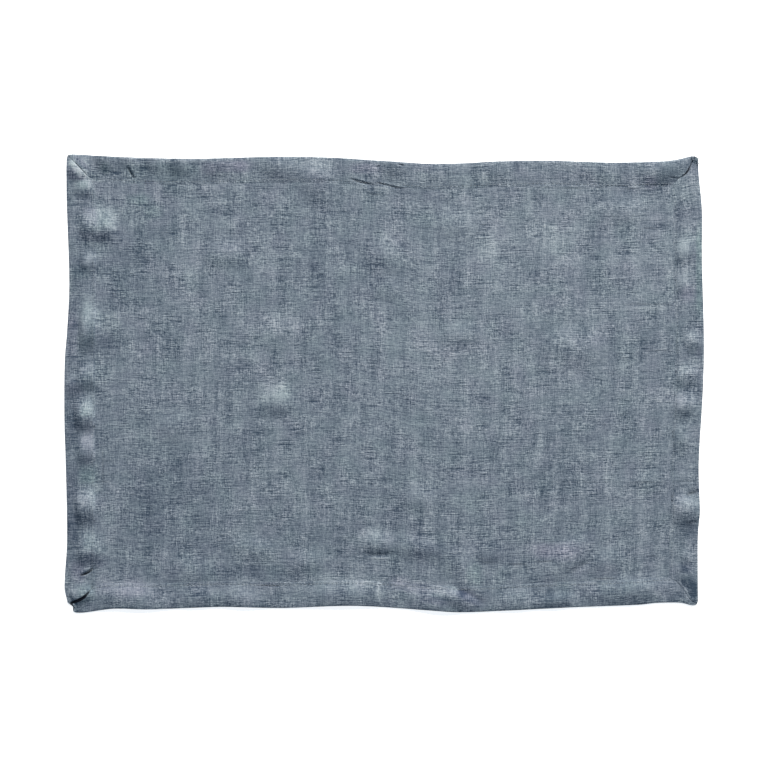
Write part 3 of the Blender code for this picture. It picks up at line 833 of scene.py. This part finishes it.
# The uneven tones of the yarn. run: 0 for streaks along the weft, 1 along the warp. long, wide:
# about how long and how wide the streaks are, in millimetres. weight: how much they lighten or
# darken. place: keeps one layer's pattern apart from another's.
Tone = namedtuple("Tone", "run long wide weight place")
YARN_TONES = table(
    Tone,
    (0, 6.5, 0.8, 0.8, 3.1), (1, 6, 0.9, 0.64, 11.7), (0, 36, 0.8, 0.4, 73.7),
    (1, 32, 0.9, 0.41, 89.3), (0, 2.4, 0.7, 0.78, 23.9), (1, 2, 0.8, 0.56, 31.3),
    (1, 70, 7, 0.42, 47.1), (0, 60, 9, 0.22, 53.3), (0, 14, 11, 0.28, 67.9),
)
HIGHLIGHT_AND_PALEST_TONE = 1.3  # top of the tone scale where the pale yarn is 1, reached by the palest streaks and by painted highlights
# the colour at that top: the palest yarn, and painted highlights
HIGHLIGHT_AND_PALEST_YARN = "A9B3BD"
IN_GAP = "07192D"  # the little light that comes back out of a crease or a seam's gap


def linen_material(cloth):
    """Slub linen: plain weave of uneven, mixed blue-grey yarn, washed and left matt.

    To the eye it is a flat, dry blue-grey, broken by short pale and dark streaks both ways
    where the yarn thickens and thins, with single threads just showing.
    """
    matt = {"Roughness": 0.92, "Specular IOR Level": 0.05}
    fuzz = {"Sheen Weight": 0.06, "Sheen Roughness": 0.6, "Sheen Tint": linear("C9D6E6")}
    material, shader, add = new_material("washed_slub_linen", {**matt, **fuzz})
    cut = add("UVMap", uv_map="Cut")

    # The threads wander a little from their straight lines: about 1 mm over 40 mm.
    wander = add("TexNoise", {"Vector": cut, "Scale": 0.25, "Detail": 1.0}, noise_dimensions="2D")
    off_middle = add("VectorMath", (wander.outputs["Color"], (0.5, 0.5, 0.5)), operation="SUBTRACT")
    wandering = add("VectorMath", (off_middle, (0.2, 0.2, 0.0), cut), operation="MULTIPLY_ADD")

    # A few long, thin weft yarns much darker than the rest: about 22 mm long and 0.9 mm wide.
    long_place = add("VectorMath", (wandering, (0.45, 11.0, 0.0)), operation="MULTIPLY")
    plain = {"Scale": 1.0, "Detail": 0.0}
    long_streaks = add("TexNoise", {"Vector": long_place, **plain}, noise_dimensions="2D")
    tone = add("MapRange", (long_streaks, 0.66, 0.78, 0.0, -0.28))

    # Streaks of tone along both sets of threads.
    rough = {"Scale": 1.0, "Detail": 1.0}
    for row in YARN_TONES:
        across_weft, across_warp = (row.long, row.wide) if row.run == 0 else (row.wide, row.long)
        per_cm = (10 / across_weft, 10 / across_warp, 0.0)
        apart = (row.place, row.place * 1.7, 0.0)
        stretched = add("VectorMath", (wandering, per_cm, apart), operation="MULTIPLY_ADD")
        streaks = add("TexNoise", {"Vector": stretched, **rough}, noise_dimensions="2D")
        centred = add("Math", (streaks, 0.5), operation="SUBTRACT")
        tone = add("Math", (centred, row.weight, tone), operation="MULTIPLY_ADD")

    # The slubs stand out more in some places than in others, over about 18 mm.
    slubby = add("TexNoise", {"Vector": cut, "Scale": 0.55, "Detail": 1.0}, noise_dimensions="2D")
    contrast = add("MapRange", (slubby, 0.3, 0.7, 0.62, 1.28))
    tone = add("Math", (tone, contrast), operation="MULTIPLY")

    # The threads: places counted in threads across the weft and up the warp.
    threads_per_cm = 10 / (cloth.thread_pitch / MM)
    counted = add("VectorMath", {0: wandering, "Scale": threads_per_cm}, operation="SCALE")
    places = add("SeparateXYZ", (counted,)).outputs
    yarn_height = []
    yarn_tone = []
    for across, along in ((0, 1), (1, 0)):  # first the warp's threads, then the weft's
        thread = add("Math", (places[across],), operation="FLOOR")
        within = add("Math", (places[across],), operation="FRACT")
        # each thread has its own run of thick and thin, about 6 mm long, unlike its neighbours'
        run = add("Math", (places[along], 0.1), operation="MULTIPLY")
        own = add("Math", (thread, 7.377), operation="MULTIPLY")
        own_place = add("CombineXYZ", (own, run, 3.3 * across))
        thick = add("TexNoise", {"Vector": own_place, **rough})
        yarn_tone.append(thick)
        # round section: one less the square of the distance from its middle
        from_middle = add("Math", (within, 2.0, -1.0), operation="MULTIPLY_ADD")
        squared = add("Math", (from_middle, from_middle), operation="MULTIPLY")
        round_section = add("Math", (1.0, squared), operation="SUBTRACT")
        body = add("Math", (round_section, 0.5, thick), operation="MULTIPLY_ADD")
        # over one thread and under the next
        half_turns = add("Math", (places[along], math.pi, -math.pi / 2), operation="MULTIPLY_ADD")
        wave = add("Math", (half_turns,), operation="COSINE")
        odd = add("Math", (thread, math.pi), operation="MULTIPLY")
        phase = add("Math", (odd,), operation="COSINE")
        over = add("Math", (wave, phase), operation="MULTIPLY")
        rise = -0.5 if across == 0 else 0.5
        yarn_height.append(add("Math", (over, rise, body), operation="MULTIPLY_ADD"))
    weft_over = add("Math", yarn_height[::-1], operation="GREATER_THAN")
    surface = add("Math", yarn_height, operation="MAXIMUM")
    yarns = {"Factor": weft_over, "A": yarn_tone[0], "B": yarn_tone[1]}
    seen_yarn = add("Mix", yarns, data_type="FLOAT")

    # The tone of the yarn that is seen, with painted shade in the gaps between threads and a little painted
    # light on their crowns.
    own_tone = add("Math", (seen_yarn, 0.62, 0.19), operation="MULTIPLY_ADD")
    # The patches of painted light and shade and of paler or darker cloth, and the crease lips' painted
    # highlights, added to the yarn's own streaks.
    tone_and_painted_light = add("Attribute", attribute_name="tone_and_painted_light").outputs["Fac"]
    streaks_and_painted_light = add("Math", (tone_and_painted_light, tone), operation="ADD")
    with_streaks = add("Math", (own_tone, streaks_and_painted_light), operation="ADD")
    gaps = add("MapRange", (surface, 0.45, 1.0, -0.22, 0.05))
    with_gaps = add("Math", (with_streaks, gaps), operation="ADD")
    # A tone of 1 is the pale yarn; where painted highlights and the palest streaks lift it further, it goes
    # on up to the top of the ramp.
    share = add("Math", (with_gaps, HIGHLIGHT_AND_PALEST_TONE), operation="DIVIDE")
    ramp = add("ValToRGB", (share,))
    stops = ramp.color_ramp.elements
    stops[0].position, stops[0].color = 0.0, cloth.dark_yarn
    stops[1].position, stops[1].color = 1.0, linear(HIGHLIGHT_AND_PALEST_YARN)
    stops.new(0.5 / HIGHLIGHT_AND_PALEST_TONE).color = cloth.yarn
    stops.new(1.0 / HIGHLIGHT_AND_PALEST_TONE).color = cloth.pale_yarn

    # Painted shade: creases and the gaps of the seams, and a few dark single yarns, are darkened towards the
    # colour of the little light that comes back out of a gap.
    crease = add("Attribute", attribute_name="crease_shade").outputs["Fac"]
    shading = {"Factor": crease, "A": ramp, "B": linear(IN_GAP)}
    shaded = add("Mix", shading, data_type="RGBA", blend_type="MULTIPLY").outputs["Result"]

    # The dye is not quite even: over about 20 mm it turns slightly violet or slightly green. The
    # tint is how much redder, less green and bluer the violet cloth is.
    dye = add("TexNoise", {"Vector": cut, "Scale": 0.5, "Detail": 1.0}, noise_dimensions="2D")
    washed_violet = add("Attribute", attribute_name="washed_violet").outputs["Fac"]
    violet = add("Math", (dye, 1.1, washed_violet), operation="MULTIPLY_ADD")
    centred_violet = add("Math", (violet, 0.55), operation="SUBTRACT")
    tint = add("CombineXYZ", (0.062, -0.037, 0.029))
    tinted = add("VectorMath", {0: tint, "Scale": centred_violet}, operation="SCALE")
    dyed = add("VectorMath", (shaded, tinted, shaded), operation="MULTIPLY_ADD")

    bump = add("Bump", {"Strength": 0.55, "Distance": 0.00025, "Height": with_gaps})
    set_inputs(shader, {"Base Color": dyed, "Normal": bump}.items())
    return material


def twist_yarn(shader, add, pattern, dark, pale, relief):
    """Gives a yarn or thread its colours, and its relief, from the pattern of its fibres."""
    tint = add("Mix", {"Factor": pattern, "A": dark, "B": pale}, data_type="RGBA")
    bump = add("Bump", {"Strength": relief, "Distance": 0.0001, "Height": pattern})
    set_inputs(shader, {"Base Color": tint.outputs["Result"], "Normal": bump}.items())


def frayed_yarn_material(cloth):
    """Loose linen yarn: the cloth's own yarn, where it is out of the weave and looks darker."""
    material, shader, add = new_material("frayed_linen_yarn", {"Roughness": 0.92})
    place = add("TexCoord").outputs["Object"]
    # the fibres show as flecks about 0.4 mm across
    flecks = add("TexNoise", {"Vector": place, "Scale": 2500.0, "Detail": 1.0})
    twist_yarn(shader, add, flecks.outputs["Fac"], tuple(cloth.dark_yarn), tuple(cloth.yarn), 0.5)
    return material


def sewing_thread_material(stitches):
    """Spun polyester sewing thread, dyed to the cloth: smooth beside the linen, and slightly satin."""
    material, shader, add = new_material("spun_sewing_thread", {"Roughness": 0.6})
    place = add("TexCoord").outputs["Object"]
    # the twist shows as fine slanting lines, about 0.4 mm apart
    lines = {"Vector": place, "Scale": 900.0, "Distortion": 1.0}
    twist = add("TexWave", lines, bands_direction="DIAGONAL").outputs["Fac"]
    darker = tuple(0.78 * channel for channel in stitches.thread[:3])
    twist_yarn(shader, add, twist, (*darker, 1.0), tuple(stitches.thread), 0.4)
    return material


def floor_material(stage):
    """Opal acrylic, lit from below as on a light table: even white, and clear of shadows."""
    glow = {"Emission Color": (1.0, 1.0, 1.0, 1.0), "Emission Strength": stage.floor_glow}
    return new_material("lit_opal_acrylic", {"Roughness": 0.9, "Base Color": stage.floor, **glow})[0]


# ---- Pieces ----


def show(name, bm, material):
    """Puts a finished mesh in the scene at the origin, smooth and with its material."""
    for face in bm.faces:
        face.smooth = True
    mesh = bpy.data.meshes.new(name)
    bm.to_mesh(mesh)
    bm.free()
    mesh.materials.append(material)
    piece = bpy.data.objects.new(name, mesh)
    bpy.context.scene.collection.objects.link(piece)
    return piece


def join(parts):
    """One mesh of many."""
    bm = bmesh.new()
    one = bpy.data.meshes.new("one_part")
    for part in parts:
        part.to_mesh(one)
        part.free()
        bm.from_mesh(one)
    bpy.data.meshes.remove(one)
    return bm


class PLACEMAT_OT_cloth(bpy.types.Operator):
    """Folds, hems and lays out the linen cloth"""

    bl_idname = "placemat.cloth"
    bl_label = "Linen cloth"

    def execute(self, context):
        settings = context.scene.placemat
        sheet = FoldedSheet(Plan(settings.cloth), settings.stitches.from_fold / MM)
        cloth = show("linen_cloth", sheet.build(), linen_material(settings.cloth))
        thickness = cloth.modifiers.new("Cloth thickness", "SOLIDIFY")
        thickness.thickness = settings.cloth.ply
        thickness.offset = 0.0
        thickness.use_even_offset = False
        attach(cloth, "root")
        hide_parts("placemat_cloth")
        return {"FINISHED"}


class PLACEMAT_OT_stitches(bpy.types.Operator):
    """Sews a row of lockstitches along the inner line of the hems"""

    bl_idname = "placemat.stitches"
    bl_label = "Hem stitches"

    SIDES_ROUND = 6
    RINGS = 5
    SAG = 0.16  # how far a stitch's ends dip into the cloth, in millimetres
    SLIP = 0.12  # how far a stitch may lie off its row
    LEAN = 0.05  # and how far it may be turned, in radians
    PROUD_ABOVE = 0.35  # height of the thread's middle over the upper face, in its own radii
    PROUD_BELOW = 0.6  # and over the surface on which the lower face lies
    SEED = 5

    def execute(self, context):
        settings = context.scene.placemat
        self.plan = Plan(settings.cloth)
        self.half = settings.stitches.length / MM / 2
        self.pitch = settings.stitches.pitch / MM
        self.radius = settings.stitches.thickness / MM / 2
        self.inset = settings.stitches.from_fold / MM
        self.chance = random.Random(self.SEED)
        sewing = join(stitch for side in SIDES for stitch in self.sew_side(side))
        stitches = show("hem_stitches", sewing, sewing_thread_material(settings.stitches))
        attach(stitches, "root")
        return {"FINISHED"}

    def sew_side(self, side):
        """One side's stitches, from one mitre to the other, on the upper and the lower face."""
        plan = self.plan
        hem = Hem(plan, plan.hem[side.across], self.inset)
        half_run = plan.half[side.run] - (plan.hem[side.run] - self.inset)
        across = side.sign * (plan.half[side.across] - hem.stitch_at)
        top = hem.upper_height(hem.stitch_at) + plan.ply / 2 + self.radius * self.PROUD_ABOVE
        for i in range(round(2 * half_run / self.pitch)):
            run = -half_run + self.pitch * (i + 0.5)
            slip = self.chance.uniform(-self.SLIP, self.SLIP)
            turn = side.run * math.pi / 2 + self.chance.uniform(-self.LEAN, self.LEAN)
            x, y = side.pair(run, across + slip)
            yield self.sew_one(x, y, turn, top, 1)
            yield self.sew_one(x, y, turn, self.radius * self.PROUD_BELOW, -1)

    def sew_one(self, x, y, turn, height, face):
        """One stitch: a short round thread whose ends dip into the upper or lower face's cloth."""
        thread = bmesh.new()
        bmesh.ops.create_uvsphere(thread, u_segments=self.SIDES_ROUND, v_segments=self.RINGS, radius=1)
        cos = math.cos(turn)
        sin = math.sin(turn)
        lie_down = Matrix.Rotation(math.radians(90), 4, "Y")
        centre_x, centre_y = self.plan.laid_out(x, y)
        lift = self.plan.lift(x, y)
        step = Vector((cos, sin)) * self.half
        slope = (self.plan.lift(x + step.x, y + step.y) - self.plan.lift(x - step.x, y - step.y)) / 2
        for vert in thread.verts:
            thin = lie_down @ vert.co
            along = thin.x * self.half
            aside = thin.y * self.radius
            dip = face * self.SAG * thin.x**2
            z = height + lift + slope * thin.x + thin.z * self.radius - dip
            place = (centre_x + along * cos - aside * sin, centre_y + along * sin + aside * cos, z)
            vert.co = Vector(place) * MM
        return thread


class PLACEMAT_OT_yarn_ends(bpy.types.Operator):
    """Frays a few loose yarn ends from the tip of one corner"""

    bl_idname = "placemat.yarn_ends"
    bl_label = "Yarn ends"

    SIDES_ROUND = 6
    JOINTS = 5  # how many bends an end is drawn with
    HEIGHT = 1.5  # of its root above the surface that the cloth lies on, in millimetres
    DROOP = 0.6  # share of that height which is lost by the tip
    TIP = 0.3  # thickness of the tip, as a share of the root's

    def execute(self, context):
        cloth = context.scene.placemat.cloth
        radius = cloth.yarn_thickness / MM / 2
        yarns = join(self.draw_end(end, radius) for end in YARN_ENDS)
        ends = show("yarn_ends", yarns, frayed_yarn_material(cloth))
        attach(ends, "root")
        return {"FINISHED"}

    def draw_end(self, end, radius):
        """One loose end: a tapered round yarn, bent sideways and drooping to its tip."""
        yarn = bmesh.new()
        round_yarn = {"segments": self.SIDES_ROUND, "radius1": radius, "radius2": radius * self.TIP}
        bmesh.ops.create_cone(yarn, cap_ends=True, depth=end.long, **round_yarn)
        lengthwise = [e for e in yarn.edges if abs(e.verts[0].co.z - e.verts[1].co.z) > end.long / 2]
        bmesh.ops.subdivide_edges(yarn, edges=lengthwise, cuts=self.JOINTS)
        for vert in yarn.verts:
            share = vert.co.z / end.long + 0.5
            heading = math.radians(end.towards + end.bend * share)
            middle = math.radians(end.towards + end.bend * share / 2)
            along = end.long * share
            x = end.x + along * math.cos(middle) - vert.co.x * math.sin(heading)
            y = end.y + along * math.sin(middle) + vert.co.x * math.cos(heading)
            z = self.HEIGHT * (1 - self.DROOP * share**2) + vert.co.y
            vert.co = Vector((x, y, z)) * MM
        return yarn


class PLACEMAT_OT_stage(bpy.types.Operator):
    """Sets up the pale floor, the soft light and the camera above"""

    bl_idname = "placemat.stage"
    bl_label = "Studio"

    # in metres, but for the camera's sensor, which is in millimetres
    FLOOR_SIZE = 12.0
    CAMERA_HEIGHT = 1.43
    SENSOR_WIDTH = 36.0
    KEY_PLACE = (1.7, 5.5, 2.15)
    KEY_SIZE = 2.6

    def execute(self, context):
        scene = context.scene
        stage = scene.placemat.stage
        bm = bmesh.new()
        bmesh.ops.create_grid(bm, x_segments=1, y_segments=1, size=self.FLOOR_SIZE / 2)
        show("floor", bm, floor_material(stage))
        self.hang_lights(scene, stage)
        self.set_camera(scene, stage)
        scene.view_settings.view_transform = "Standard"
        scene.view_settings.look = "None"
        return {"FINISHED"}

    def hang_lights(self, scene, stage):
        lamp = bpy.data.lights.new("key_light", "AREA")
        lamp.size = self.KEY_SIZE
        lamp.energy = stage.key_power
        lamp.color = stage.key_colour[:3]
        key = bpy.data.objects.new("key_light", lamp)
        key.location = self.KEY_PLACE
        key.rotation_euler = Vector(self.KEY_PLACE).to_track_quat("Z", "Y").to_euler()
        key.visible_camera = False
        scene.collection.objects.link(key)
        world = bpy.data.worlds.new("studio")
        world.use_nodes = True
        fill = {"Color": stage.fill_colour, "Strength": stage.sky}
        set_inputs(world.node_tree.nodes["Background"], fill.items())
        scene.world = world

    def set_camera(self, scene, stage):
        data = bpy.data.cameras.new("camera")
        data.lens = stage.lens
        data.sensor_width = self.SENSOR_WIDTH
        camera = bpy.data.objects.new("camera", data)
        camera.location = (0.0, 0.0, self.CAMERA_HEIGHT)
        scene.collection.objects.link(camera)
        scene.camera = camera


# ---- The sidebar and the run ----


class PlacematSettings(bpy.types.PropertyGroup):
    """All that a user would change."""

    cloth: bpy.props.PointerProperty(type=ClothSettings)
    stitches: bpy.props.PointerProperty(type=StitchSettings)
    stage: bpy.props.PointerProperty(type=StageSettings)


class PLACEMAT_PT_panel(bpy.types.Panel):
    """Lists the placemat's pieces and their settings"""

    bl_idname = "PLACEMAT_PT_panel"
    bl_label = "Linen placemat"
    bl_space_type = "VIEW_3D"
    bl_region_type = "UI"
    bl_category = "Placemat"

    def draw(self, context):
        settings = context.scene.placemat
        groups = (
            (PLACEMAT_OT_cloth, settings.cloth),
            (PLACEMAT_OT_stitches, settings.stitches),
            (PLACEMAT_OT_yarn_ends, None),
            (PLACEMAT_OT_stage, settings.stage),
        )
        for operator, group in groups:
            box = self.layout.box()
            box.operator(operator.bl_idname)
            for name in group.__annotations__ if group else ():
                box.prop(group, name)


CLASSES = (
    ClothSettings,
    StitchSettings,
    StageSettings,
    PlacematSettings,
    PLACEMAT_OT_cloth,
    PLACEMAT_OT_stitches,
    PLACEMAT_OT_yarn_ends,
    PLACEMAT_OT_stage,
    PLACEMAT_PT_panel,
)


def register():
    for cls in CLASSES:
        bpy.utils.register_class(cls)
    bpy.types.Scene.placemat = bpy.props.PointerProperty(type=PlacematSettings)


def unregister():
    del bpy.types.Scene.placemat
    for cls in reversed(CLASSES):
        bpy.utils.unregister_class(cls)


def main():
    register()
    bpy.ops.placemat.cloth()
    bpy.ops.placemat.stitches()
    bpy.ops.placemat.yarn_ends()
    bpy.ops.placemat.stage()


if __name__ == "__main__":
    main()
